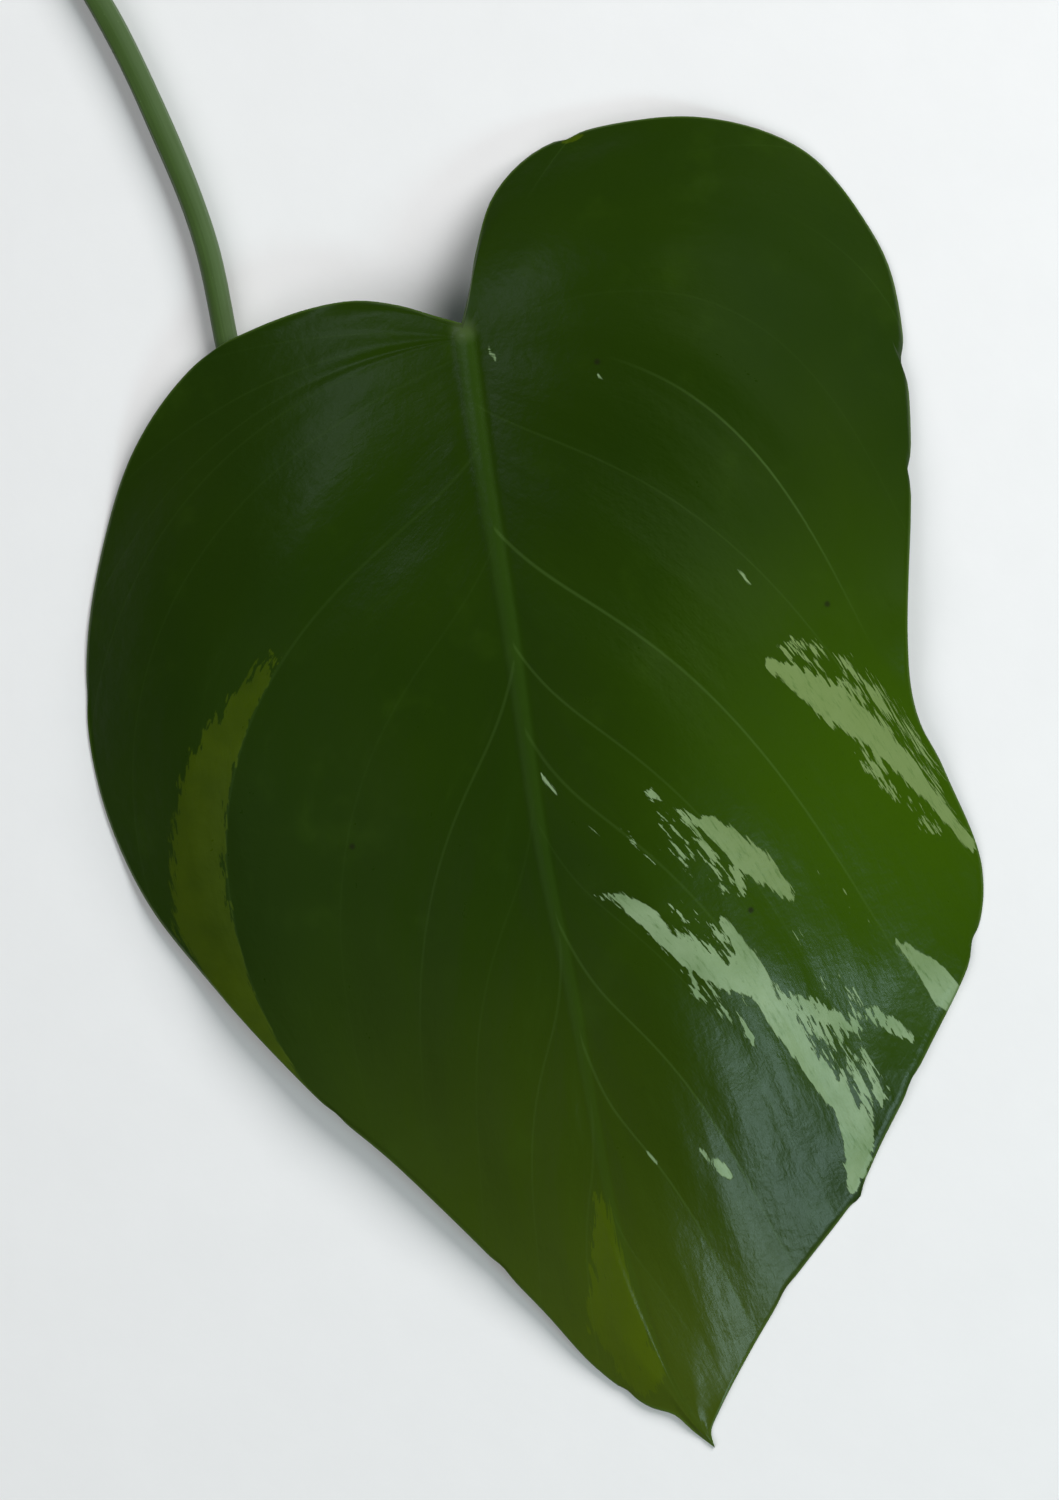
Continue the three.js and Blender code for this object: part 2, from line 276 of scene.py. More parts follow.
def soft_heights(xy):
    """Heights of a soft sheet at the places xy. At each place a plane is fitted to the sheet's samples,
    each weighted by its area times exp(-(distance / SOFTNESS)^2 / 2), and read off there."""
    samples, areas = [], []
    row, u = np.linspace(0, 1, SHEET_ROWS)[:, None], np.linspace(0, 1, SHEET_COLUMNS)[None, :]
    for half in (RIGHT, LEFT):
        place, _, _ = half_blade(half, row, u)
        down, across = np.gradient(place[..., :2], axis=0), np.gradient(place[..., :2], axis=1)
        area = np.abs(down[..., 0] * across[..., 1] - down[..., 1] * across[..., 0])
        samples.append(place.reshape(-1, 3))
        areas.append(area.ravel())
    x, y, z = np.concatenate(samples).T
    sums = np.stack([x * 0 + 1, x, y, x * x, x * y, y * y, z, x * z, y * z], axis=1)
    sums *= np.concatenate(areas)[:, None]
    heights = []
    for part in np.array_split(xy.reshape(-1, 2), 24):  # in parts, to spare the memory
        away = (part[:, :1] - x) ** 2 + (part[:, 1:] - y) ** 2
        w = np.exp(-away / (2 * SOFTNESS**2)) @ sums
        fit = np.stack([w[:, [0, 1, 2]], w[:, [1, 3, 4]], w[:, [2, 4, 5]]], axis=1)
        plane = np.linalg.solve(fit, w[:, 6:9, None])[..., 0]
        heights.append(plane[:, 0] + plane[:, 1] * part[:, 0] + plane[:, 2] * part[:, 1])
    return np.concatenate(heights).reshape(xy.shape[:-1])


print("height of the sheet at the joint:", soft_heights(np.zeros((1, 2))).round(2))

# %% [markdown]
# ## The grid
# The blade is one grid: rows follow the veins, and columns run round the section, over the left half and
# the right half and back underneath. Even steps would spend most of the mesh on smooth tissue. Rows crowd
# at the veins, and one falls exactly on each, so a narrow vein keeps a clean line.

# %% Lay out rows and columns
ROWS = 272
COLUMNS = 82
VEIN_CROWD = 2.2  # how much denser the rows are at a vein
VEIN_SPREAD = 0.005  # how far from it, in rows
COLUMN_CROWDING = 1.45  # above 1, the columns crowd at the midrib


def crowded_rows():
    """Row values from 0 to 1. Their density is 1 + VEIN_CROWD * bell((row - vein) / VEIN_SPREAD), so
    equal steps of its running total are the rows. The nearest one is then moved onto each vein."""
    fine = np.linspace(0, 1, 6001)
    veins = np.array([v[0] for v in RIGHT_VEINS + LEFT_VEINS])
    bells = np.exp(-(((fine[:, None] - veins) / VEIN_SPREAD) ** 2)).sum(axis=1)
    total = np.cumsum(1 + VEIN_CROWD * bells)
    rows = np.interp(np.linspace(total[0], total[-1], ROWS + 1), total, fine)
    rows[np.abs(rows[:, None] - veins).argmin(axis=0)] = veins
    return rows


grid_rows = crowded_rows()
grid_u = (np.arange(COLUMNS + 1) / COLUMNS) ** COLUMN_CROWDING
print("grid:", len(grid_rows), "rows,", len(grid_u), "columns to a half")

# %% [markdown]
# ## Where the colour lies
# This leaf is variegated: some of its tissue has no green in it. Such patches grow from a few changed
# cells, so they stretch along the veins, with clean edges inside and feathered ends. Here a patch is a
# brush stroke, a short line with a half width at each point. The mesh only stores how deep each point
# lies inside the nearest stroke. The material turns that into a ragged edge, which no mesh could hold.

# %% State the patches
# Each stroke: its points (x, y, half width), how ragged it is, and the greatest depth that it may have.
# A stroke held near 0 or below comes out as loose flecks.
SOLID = 99  # no limit to the depth
CREAM_STROKES = [
    ([(44, -74.6, 1.4), (49, -79, 3), (56, -86, 3.9), (62, -93, 3.2), (67, -101, 2.3), (72.5, -111, 1.5),
      (77, -120, 1.1)], 0.9, SOLID),
    ([(53, -74, 0.8), (58, -77.5, 1.2), (63, -84, 1.4), (66.5, -91, 1.4)], 1.0, SOLID),
    ([(49, -74, 3), (57, -80, 4), (66, -92, 3), (71, -104, 2)], 2.2, 0.1),
    ([(58, -96, 1), (64, -105, 1.6), (71, -115, 1.2)], 1.8, 0.2),
    ([(21.5, -100.5, 1), (26, -104, 2.3), (30.5, -109.5, 3.2), (35, -115, 2.4), (39, -121, 0.9)], 0.8, SOLID),
    ([(15.5, -94, 0.7), (18, -97.5, 1.1), (21.5, -101, 1.1)], 1.6, 0.3),
    ([(18, -101, 2.2), (23, -108, 3.6), (28, -116, 2)], 2, 0.1),
    ([(10, -98, 1.2), (15, -106, 1.8), (20, -111.5, 1)], 1.7, -0.8),
    ([(1, -111.5, 0.4), (4.5, -112.5, 1.1), (9, -116.5, 2), (12, -122, 2.1), (16, -127.5, 2.6),
      (21, -131, 2.7), (27, -135.5, 2.7)], 0.8, SOLID),
    ([(24, -121.5, 0.9), (26.5, -127.5, 2), (28, -134, 2.8), (30.5, -141, 2.6), (33.5, -148.5, 2.6),
      (37, -156.5, 2.6), (40.5, -163, 3), (42, -169, 3.6), (41, -175, 3), (38.6, -180.5, 1.2)], 0.8, SOLID),
    ([(16, -119, 2), (21, -124, 3), (25, -128, 2)], 2, 0),
    ([(11, -124, 1), (15, -130.5, 1.4), (20, -137, 1.4), (25, -145.5, 1)], 1.8, -0.1),
    ([(32, -138.5, 1.2), (36.5, -142, 1.9), (41.5, -146, 2), (46, -149.5, 1.3)], 1.4, SOLID),
    ([(49, -146.5, 1.2), (53, -150, 1.9), (57, -154.6, 0.6)], 0.9, SOLID),
    ([(42, -138, 1.2), (46, -143, 1.6), (48, -148, 1.2)], 1.7, -0.1),
    ([(36, -146, 3.2), (42, -154, 4.2), (47, -163, 3)], 2, 0.2),
    ([(57, -133.6, 0.6), (60.5, -138, 1.5), (63.6, -142.5, 2.9), (66, -147.5, 3.2)], 0.5, SOLID),
    ([(43, -116, 1.6), (47, -121, 2), (52, -127, 1.4)], 1.7, -0.9),
    ([(38.5, -126.5, 0.8), (40.5, -129.5, 0.8)], 1.2, -0.3),
    ([(-3.9, -86.6, 0.5), (-1.6, -90.8, 0.4)], 0.4, SOLID),
    ([(2.5, -98, 0.5), (5, -103, 0.5)], 1.2, -0.2),
    ([(42, -55.4, 0.35), (43.6, -59.8, 0.3)], 0.4, SOLID),
    ([(10.3, -165, 0.6), (13.4, -169.4, 1), (15, -171.8, 0.6)], 0.5, SOLID),
    ([(0, -163, 0.3), (1.4, -165.8, 0.35)], 0.3, SOLID),
    ([(23.6, -13, 0.35), (24.2, -14.4, 0.3)], 0.3, SOLID),
    ([(33.8, -24.2, 0.25), (34.2, -25.4, 0.25)], 0.3, SOLID),
    ([(4, -3, 0.25), (4.8, -5.6, 0.3)], 0.3, SOLID),
]
LIME_STROKES = [
    ([(-50.5, -53, 1.4), (-57.5, -60.5, 3.4), (-66, -69.5, 4.8), (-71, -79, 5.4), (-74, -88, 5.6),
      (-76, -99, 6), (-73, -110, 5.8), (-69, -122, 5), (-63, -135, 3.4), (-59, -142, 1.2)], 1.8, SOLID),
    ([(-11, -170, 1), (-12, -182, 3.4), (-13.5, -195, 5.5), (-10, -208, 4)], 1.5, 1.6),
    ([(28, 35.4, 0.8), (30.5, 35.4, 1)], 0.4, SOLID),
]
LIME_VEIN = 0.6  # the lime band on the left stops clean at this vein,
LIME_VEIN_END = -160  # down to this y
RAGGED_WEIGHT = 0.6  # how much raggedness counts against depth where strokes meet
FAR_OUT = -9.0  # the depth where no stroke is near
print("strokes:", len(CREAM_STROKES), "cream,", len(LIME_STROKES), "lime")


def strokes_on(xy, strokes):
    """How deep each point lies in its stroke, half width less distance, and how ragged that stroke is.
    Where strokes meet, the one with the greatest depth + RAGGED_WEIGHT * raggedness wins."""
    depth, ragged = np.full(xy.shape[:-1], FAR_OUT), np.full(xy.shape[:-1], 0.5)
    for points, roughness, cap in strokes:
        away, place = distance_to_line(xy, points)
        width = np.interp(place, np.arange(len(points)), [p[2] for p in points])
        here = np.minimum(width - away, cap)
        wins = here + RAGGED_WEIGHT * roughness > depth + RAGGED_WEIGHT * ragged
        ragged = np.where(wins, roughness, ragged)
        depth = np.where(wins, here, depth)
    return depth, ragged


# %% [markdown]
# ## The relief
# A smooth arched sheet looks like plastic. The eye knows a leaf by its quilting, by the rounded midrib
# that stands in a groove, and by waves near the edge. All of it is below a millimetre on the upper side,
# so it is added to the height. Underneath, the midrib and the veins stand out as ridges.

# %% State the relief, with waves and quilting
QUILT = 0.45  # how far the tissue swells between two veins
QUILT_GAP = 0.07  # between veins nearer than this, in rows, it swells less
RIPPLE = 0.045  # of the fine ripples along the veins
SWELL = 0.35  # of the slow waves all over
EDGE_WAVE = 0.4  # of the waves that grow towards the edge
FOLD = (0.02, 0.16)  # right and left: height of the soft folds that fan out of the joint
FOLD_ROWS = 0.17  # from one fold to the next, in rows
FOLD_PLACE, FOLD_REACH = 20, 14  # how far out they are highest, and how far they run from there
FOLD_START = 4  # they grow from nothing over this distance, so all rows meet in one point at the joint
VEIN_SINK = 0.12  # how deep a clear vein lies in the upper side
VEIN_VALLEY = 2.2  # the half width of that valley, in half widths of the vein
ROW_WIDTH = 300  # the growth coordinates count one row as this many millimetres
RIB_HALF_WIDTH = 2  # of the midrib's band above, at the joint
RIB_RISE = 0.35
RIB_GROOVE = 0.08
THICKNESS = 0.55
RIM_THICKNESS = 0.3
RIM_REACH = 4  # how far in the tissue thins towards the rim
RIB_DEPTH = 2.6  # how far the midrib stands out below, at the joint
RIB_REACH = 2.4  # its half width there, which halves by the tip
RIDGE_DEPTH = 1.5  # a vein's ridge below, in half widths of the vein
RIDGE_REACH = 1.6  # the half width of that ridge, counted the same way
SETTLE = 0.45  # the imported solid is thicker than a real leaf, so the edge settles by the difference


def waves(x, y, count, shortest, longest, stretch, seed):
    """A sum of sine waves with random directions, lengths and starts, about -1 to 1. stretch above 1
    makes the waves longer along y."""
    chance = np.random.default_rng(seed)
    length = shortest * (longest / shortest) ** chance.random(count)
    angle, start = chance.random(count) * 2 * np.pi, chance.random(count) * 2 * np.pi
    total = np.zeros(np.broadcast(x, y).shape)
    for size, turn, phase in zip(length, angle, start):
        total += np.sin(2 * np.pi * (x * np.cos(turn) + y * np.sin(turn) / stretch) / size + phase)
    return total / np.sqrt(count)


def quilting(half, row, u):
    """sin^2 of the way from one vein to the next, which is 0 on every vein. It grows out of the midrib
    and fades before the edge."""
    stops = np.array([0] + [v[0] for v in VEINS[half]] + [1])
    phase = np.interp(row, stops, np.arange(len(stops)))
    gap = np.interp(phase, np.arange(len(stops) - 1) + 0.5, np.diff(stops))
    window = smooth_step(u, 0.0, 0.16) * (1 - 0.75 * smooth_step(u, 0.6, 1))
    return np.sin(np.pi * phase) ** 2 * window * np.clip(gap / QUILT_GAP, 0, 1.3)


# %% Measure the halves
CALM_ROOM = (60, 260)  # millimetres to one row: below the first no ripples, above the second all
ROOM_REACH = 0.03  # over how many rows that spacing is evened out


def half_details(half, rows, u):
    """Everything that the mesh and its colours need to know on one half, as arrays over its grid. A
    vein's distance from a point is the difference of their rows, times the millimetres to one row at
    the vein. calm is 0 where the rows run close together, and 1 where they have room."""
    row, u = rows[:, None], u[None, :]
    place, along, out = half_blade(half, row, u)
    place[..., 2] = soft_heights(place[..., :2])
    down = np.gradient(place[..., :2], rows, axis=0)
    across = np.gradient(place[..., :2], u[0], axis=1)
    cell = np.abs(across[..., 0] * down[..., 1] - across[..., 1] * down[..., 0])
    spacing = cell / np.maximum(np.linalg.norm(across, axis=-1), 1e-6)  # mm to one row
    rib, _ = distance_to_line(place[..., :2], at_share(MIDRIB_CURVE, np.linspace(0, 1, 60)))
    edge, _ = distance_to_line(place[..., :2], at_share(EDGES[half], np.linspace(0, 1, 220)))
    vein, show, ridge = np.full(cell.shape, 99.0), np.zeros(cell.shape), np.zeros(cell.shape)
    for vein_row, half_width, *clear in VEINS[half]:
        width = half_width * (1 - 0.55 * u)
        clear = np.maximum(0, np.interp(u, (0, 0.5, 1), clear))
        away = np.abs(row - vein_row) * spacing[np.abs(rows - vein_row).argmin()]
        nearest = away / width < vein
        vein, show = np.where(nearest, away / width, vein), np.where(nearest, clear, show)
        bell = np.exp(-((away / (RIDGE_REACH * width)) ** 2))
        ridge = np.maximum(ridge, half_width * RIDGE_DEPTH * (1 - 0.7 * u) * bell)
    close = np.exp(-(((rows[:, None] - rows) / ROOM_REACH) ** 2)) * np.gradient(rows)
    room = close @ spacing / close.sum(axis=1, keepdims=True)
    return {
        "place": place, "row": row * np.ones_like(u), "u": u * np.ones_like(row), "along": along,
        "out": out, "spacing": spacing, "rib": rib, "edge": edge, "vein": vein, "show": show,
        "ridge": ridge, "calm": smooth_step(room, *CALM_ROOM),
    }


# %% Shape both faces
def rib_half_width(along):
    """Half the width of the midrib's band above: widest at the joint, and thin at the tip."""
    return RIB_HALF_WIDTH * (1 - 0.72 * along)


def upper_relief(half, d):
    """Height added to the upper face: quilting between veins, ripples along them, slow waves, soft folds
    that fan out of the joint, waves that grow towards the edge, a valley at each clear vein, and a
    rounded midrib band between two shallow grooves. Where rows run close together, the quilting, the
    ripples and the slow waves die down. At the notch and at the tip, where the halves meet, all but the
    band dies away."""
    row, u, place = d["row"], d["u"], d["place"]
    x, y = place[..., 0], place[..., 1]
    inner = d["calm"] * smooth_step(d["rib"], 1.5, 7) * (1 - 0.6 * smooth_step(u, 0.85, 1))
    ripples = waves(ROW_WIDTH * row, d["out"], count=24, shortest=6, longest=20, stretch=2.4, seed=11 + half)
    swells = waves(x, y, count=14, shortest=26, longest=60, stretch=1, seed=21 + half)
    edge_waves = waves(x, y, count=8, shortest=22, longest=45, stretch=1, seed=31 + half)
    height = QUILT * d["calm"] * quilting(half, row, u)
    height += RIPPLE * inner * ripples
    height += SWELL * inner * swells
    folds = np.exp(-(((d["out"] - FOLD_PLACE) / FOLD_REACH) ** 2)) * (1 - smooth_step(row, 0.3, FAN_SHARE))
    folds *= smooth_step(d["out"], 0, FOLD_START)
    height += FOLD[half] * folds * np.sin(2 * np.pi * row / FOLD_ROWS)
    height += EDGE_WAVE * u**6 * edge_waves
    valley = np.exp(-((d["vein"] / VEIN_VALLEY) ** 2)) * smooth_step(d["rib"], 0.5, 3)
    height -= VEIN_SINK * d["show"] * valley
    height *= smooth_step(row, 0, 0.06) * (1 - smooth_step(row, 0.93, 1))
    width = rib_half_width(d["along"])
    band = np.clip(1 - (d["rib"] / (1.3 * width)) ** 2, 0, 1) ** 1.7
    groove = np.exp(-(((d["rib"] - 1.35 * width) / (0.6 * width)) ** 2))
    height += (RIB_RISE * band - RIB_GROOVE * groove) * (1 - 0.9 * smooth_step(d["along"], 0, 0.8))
    return height - SETTLE * smooth_step(u, 0.6, 1)


def blade_depth(d):
    """Thickness of the blade: thin tissue that thins again at the rim, plus the ridges of the midrib and
    of the side veins, which all taper outwards."""
    tissue = RIM_THICKNESS + (THICKNESS - RIM_THICKNESS) * smooth_step(d["edge"], 0, RIM_REACH)
    reach = RIB_REACH * (1 - 0.5 * d["along"])
    rib = (RIB_DEPTH * (1 - d["along"]) ** 0.8 + 0.25) * np.exp(-((d["rib"] / reach) ** 2))
    ridge = d["ridge"] * (1 - smooth_step(d["u"], 0.8, 1)) * smooth_step(d["row"], 0, 0.06)
    return tissue + np.maximum(rib, ridge * (1 - smooth_step(d["row"], 0.94, 0.99)))


# %% [markdown]
# ## The blade as one closed mesh
# The columns go once round the section: the left half from its edge to the midrib, the right half out to
# its edge, one rounded rim column, back underneath, and the left rim. At the notch and at the tip the
# section closes up on itself, and welding those points leaves a watertight skin.

# %% Put a grid into a mesh
def grid_faces(rows, columns, closed):
    """Four corners for each cell of a grid of points, as indices. With closed, the last column joins
    the first."""
    index = np.arange(rows * columns).reshape(rows, columns)
    index = np.hstack([index, index[:, :1]]) if closed else index
    corners = (index[:-1, :-1], index[1:, :-1], index[1:, 1:], index[:-1, 1:])
    return np.stack(corners, axis=-1).reshape(-1, 4)


def make_mesh(name, points, faces, values):
    """A mesh object from points in millimetres, with named float or vector values at every point.
    Points that coincide are welded. A cell that this leaves with three corners becomes a triangle, and
    one with fewer is dropped."""
    _, first, same = np.unique(np.round(points, 3), axis=0, return_index=True, return_inverse=True)
    faces = same.reshape(-1)[faces]
    differs = faces != np.roll(faces, -1, axis=1)
    corners = differs.sum(axis=1)
    three = faces[corners == 3][differs[corners == 3]].reshape(-1, 3)
    polygons = faces[corners == 4].tolist() + three.tolist()
    mesh = bpy.data.meshes.new(name)
    mesh.from_pydata(((points[first] + OFFSET) * MM).tolist(), [], polygons)
    for key, value in values.items():
        kind, field = ("FLOAT", "value") if value.ndim == 1 else ("FLOAT_VECTOR", "vector")
        layer = mesh.attributes.new(key, kind, "POINT")
        layer.data.foreach_set(field, value[first].astype(np.float32).ravel())
    mesh.shade_smooth()
    mesh.update()
    made = bpy.data.objects.new(name, mesh)
    bpy.context.scene.collection.objects.link(made)
    print(f"{name}: {len(first)} points, {2 * (corners == 4).sum() + len(three)} triangles")
    return made


# %% Work out the blade
LOWEST = 0.05  # the least height in the drawing, where the table is at about 0


def blade_half_arrays(half):
    """Points above and below, and the named values, for one half. Nothing sinks into the table. The
    growth coordinates are the row as a length, the distance out, and a little of x, which tells the
    halves apart."""
    d = half_details(half, grid_rows, grid_u)
    place = d["place"]
    upwards = np.array([0, 0, 1.0])
    above = place + upwards * upper_relief(half, d)[..., None]
    below = above - upwards * blade_depth(d)[..., None]
    lift = upwards * np.maximum(0, LOWEST - below[..., 2:])
    cream, cream_ragged = strokes_on(place[..., :2], CREAM_STROKES)
    lime, lime_ragged = strokes_on(place[..., :2], LIME_STROKES)
    if half == LEFT:
        past_vein = (LIME_VEIN - d["row"]) * d["spacing"] / 0.3
        lime = np.where(place[..., 1] > LIME_VEIN_END, np.minimum(lime, past_vein), lime)
    values = {
        "growth": np.stack([ROW_WIDTH * d["row"], d["out"], 0.1 * place[..., 0]], axis=-1),
        "vein": np.minimum(d["vein"], 30), "vein_show": d["show"], "calm": d["calm"],
        "rib": d["rib"] / rib_half_width(d["along"]), "rib_share": d["along"], "edge": d["edge"],
        "cream": cream, "cream_ragged": cream_ragged, "lime": lime, "lime_ragged": lime_ragged,
    }
    return above + lift, below + lift, values


def ring(left, right):
    """One array over a section's upper side, from the left edge over the midrib to the right edge."""
    return np.concatenate([left[:, ::-1], right[:, 1:]], axis=1)


def blade_points():
    """The blade's points and values, in rows that each go once round the section."""
    left_above, left_below, left_values = blade_half_arrays(LEFT)
    right_above, right_below, right_values = blade_half_arrays(RIGHT)
    above, below = ring(left_above, right_above), ring(left_below, right_below)
    outward = np.diff(above, axis=1)[:, [0, -1]] * [[[-1.0], [1.0]]]
    outward /= np.maximum(np.linalg.norm(outward, axis=-1, keepdims=True), 1e-6)
    bulge = RIM_THICKNESS / 2 * smooth_step(grid_rows, 0, 0.02) * (1 - smooth_step(grid_rows, 0.99, 1))
    rim = (above + below)[:, [0, -1]] / 2 + outward * bulge[:, None, None]
    points = np.concatenate([above, rim[:, 1:], below[:, ::-1], rim[:, :1]], axis=1)
    values = {}
    for key in left_values:
        flat = ring(left_values[key], right_values[key])
        values[key] = np.concatenate([flat, flat[:, -1:], flat[:, ::-1], flat[:, :1]], axis=1)
    return points, values


blade_grid, blade_values = blade_points()
flat = blade_grid.reshape(-1, 3)
print("blade grid:", blade_grid.shape[:2], "size in mm:", (flat.max(axis=0) - flat.min(axis=0)).round(2))

# %% [markdown]
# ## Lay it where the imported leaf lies
# The drawing's origin is the joint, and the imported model's is the middle of its footprint. The shift
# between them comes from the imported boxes: the middle of the blade across, its tip lengthwise, and the
# top of the stalk upwards.

# %% Find the shift
STALK_TOP = 13.25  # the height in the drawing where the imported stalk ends, below the joint
blade_low, blade_high = (np.array(corner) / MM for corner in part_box("leaf_blade"))
stalk_high = np.array(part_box("leaf_stalk")[1]) / MM
OFFSET = np.array([
    (blade_low[0] + blade_high[0] - flat[:, 0].min() - flat[:, 0].max()) / 2,
    blade_low[1] - flat[:, 1].min(),
    stalk_high[2] - STALK_TOP,
])
print("shift in mm:", OFFSET.round(2))

# %% Build the blade
values = {key: v.reshape(-1, 3) if v.ndim == 3 else v.ravel() for key, v in blade_values.items()}
blade = make_mesh("blade", flat, grid_faces(*blade_grid.shape[:2], closed=True), values)

# %% [markdown]
# ## The stalk
# A monstera's stalk is a stiff rod with fine lines along it. Its lower part once wrapped the next leaf,
# and keeps a shallow channel with a low wing on each side. At the top it thickens into a wrinkled knee
# that turns the blade to the light. Blender could bevel a curve, but a bevel has one section from end to
# end. Here the section is a function of how far along and how far round a point is.

# %% State the stalk
KNEE_DEPTH = 1.1  # how far below the blade's upper side the knee ends, inside the midrib
knee_top = float(soft_heights(np.array([[0, 0.2]]))[0]) - KNEE_DEPTH
STALK_LINE = [
    (0, 0.2, knee_top), (0, 0.2, 11.9), (-1.1, -2.6, 9.8), (-4, -7.4, 7.4), (-8.8, -12, 5.2),
    (-15.5, -16.6, 3.7), (-25.1, -20, 2.9), (-36.2, -19, 2.6), (-44, -11.3, 2.6), (-46.7, -0.5, 2.6),
    (-46.4, 11, 2.6), (-46.2, 31.8, 2.6), (-49.5, 54.3, 2.6), (-56.5, 83.2, 2.7), (-68, 110, 2.9),
    (-82, 134, 3.12),
]
# (share of the length, half width, height of the wings, depth of the channel)
STALK_SHAPE = [
    (0, 2.9, 0, 0), (0.05, 3, 0, 0), (0.12, 2.75, 0, 0.05), (0.2, 2.5, 0, 0.1), (0.45, 2.35, 0.05, 0.15),
    (0.55, 2.45, 0.15, 0.2), (0.66, 2.55, 0.3, 0.25), (0.74, 2.4, 0.25, 0.3), (0.8, 2.15, 0.1, 0.3),
    (0.88, 2.05, 0.1, 0.35), (1, 2.6, 0.35, 0.5),
]
STALK_SIDES = 72
STALK_STEPS = 640
ROUND_RINGS = 4  # of the small round from the skin to the cut
CUT_RINGS = 16  # these, and the circles that close in on the middle
CUT_ROUND = 0.15  # how far the round reaches beyond the end of the line
CUT_INSET = 0.06  # the share of the half width that it takes in
CUT_DISH = 0.12  # how far the drying pith sinks in the middle
BROAD_LINE, FINE_LINE = 0.012, 0.008  # heights of the 17 broad and the 29 fine lines along it
UNEVEN = 0.07  # how much the whole stalk swells and thins along its length
WRINKLE = 0.05  # height of a wrinkle on the knee
WRINKLE_STEP = 0.0065  # from one wrinkle to the next, as a share of the length
WING_PLACE, WING_WIDTH = 0.85, 0.16  # angles from the top, in radians


def stalk_directions(places):
    """Unit directions along the line, level to its side, and square to both. Where the line is steep,
    the level one comes from the first clear heading, so the end by the joint doesn't twist."""
    along = np.gradient(places, axis=0)
    along /= np.linalg.norm(along, axis=1, keepdims=True)
    slanting = np.hypot(along[:, 0], along[:, 1]) > 0.25
    heading = np.where(slanting[:, None], along, along[slanting.argmax()])
    level = np.stack([heading[:, 1], -heading[:, 0], 0 * heading[:, 0]], axis=1)
    level -= along * (level * along).sum(axis=1, keepdims=True)
    level /= np.linalg.norm(level, axis=1, keepdims=True)
    return along, level, np.cross(level, along)


def stalk_radius(share, angle):
    """The section's size at each angle, counted from its right side round by its top: a circle, less a
    channel at the top, plus a wing on each shoulder, plus lines lengthwise, wrinkles across the knee,
    and a slow swelling along the whole stalk."""
    half_width, wing, channel = (from_table(STALK_SHAPE, share, k) for k in (1, 2, 3))
    top = np.angle(np.exp(1j * (angle - np.pi / 2)))
    radius = half_width - channel * np.exp(-((top / 0.5) ** 2))
    for side, size in ((1, 1), (-1, 0.8)):
        radius += size * wing * np.exp(-(((top - side * WING_PLACE) / WING_WIDTH) ** 2))
    radius += BROAD_LINE * np.sin(17 * angle + 3 * np.sin(6 * share))
    radius += FINE_LINE * np.sin(29 * angle + 1)
    knee = np.exp(-((share / 0.09) ** 4))
    radius += WRINKLE * knee * np.sin(2 * np.pi * share / WRINKLE_STEP + 1.5 * np.sin(2 * angle))
    swells = waves(200 * share, 0 * angle, count=7, shortest=14, longest=50, stretch=1, seed=61)
    return radius + UNEVEN * swells


# %% Build the stalk
stalk_curve = curve_through(STALK_LINE)
stalk_length = np.linalg.norm(np.diff(stalk_curve[0], axis=0), axis=1).sum()
# Rings of the stalk, then its cut end: a small round, and circles that close in on the middle.
turn = np.linspace(0, np.pi / 2, ROUND_RINGS + 1)[1:]
inwards = np.linspace(1, 0, CUT_RINGS - ROUND_RINGS + 1)[1:]
share = np.concatenate([np.linspace(0, 1, STALK_STEPS + 1), np.ones(CUT_RINGS)])
rounding, dish = CUT_INSET * (1 - np.cos(turn)), CUT_DISH * (1 - inwards**2)
shrink = np.concatenate([np.ones(STALK_STEPS + 1), 1 - rounding, (1 - CUT_INSET) * inwards])
push = np.concatenate([np.zeros(STALK_STEPS + 1), CUT_ROUND * np.sin(turn), CUT_ROUND - dish])
shrink[0] = 0  # closes the hidden end inside the midrib
centre = at_share(stalk_curve, share)
directions = stalk_directions(centre[: STALK_STEPS + 1])
along, level, square = (np.vstack([d, np.repeat(d[-1:], CUT_RINGS, axis=0)])[:, None] for d in directions)
angle = (np.arange(STALK_SIDES) / STALK_SIDES * 2 * np.pi)[None, :]
radius = (stalk_radius(share[:, None], angle) * shrink[:, None])[..., None]
sweep = level * np.cos(angle)[..., None] + square * np.sin(angle)[..., None]
points = centre[:, None] + radius * sweep + along * push[:, None, None]
values = {
    "grain": np.stack([radius[..., 0] * np.cos(angle), radius[..., 0] * np.sin(angle),
                       share[:, None] * stalk_length + 0 * angle], axis=-1).reshape(-1, 3),
    "share": (share[:, None] + 0 * angle).ravel(),
    "out": (shrink[:, None] + 0 * angle).ravel(),
    # how far round a point is towards the side that gets the painted light
    "lit_side": (np.cos(angle - 0.5) + 0 * share[:, None]).ravel(),
}
cells = grid_faces(len(share), STALK_SIDES, closed=True)
stalk = make_mesh("stalk", points.reshape(-1, 3), cells, values)
print("stalk length in mm:", round(float(stalk_length), 1))

# %% [markdown]
# ## Shader maths in plain words
# A material is a graph of nodes, and a long one is easier to read as a sum than as boxes and wires. So a
# small class stands for one output of a node. Arithmetic on it adds Math nodes, and one method adds any
# other node.

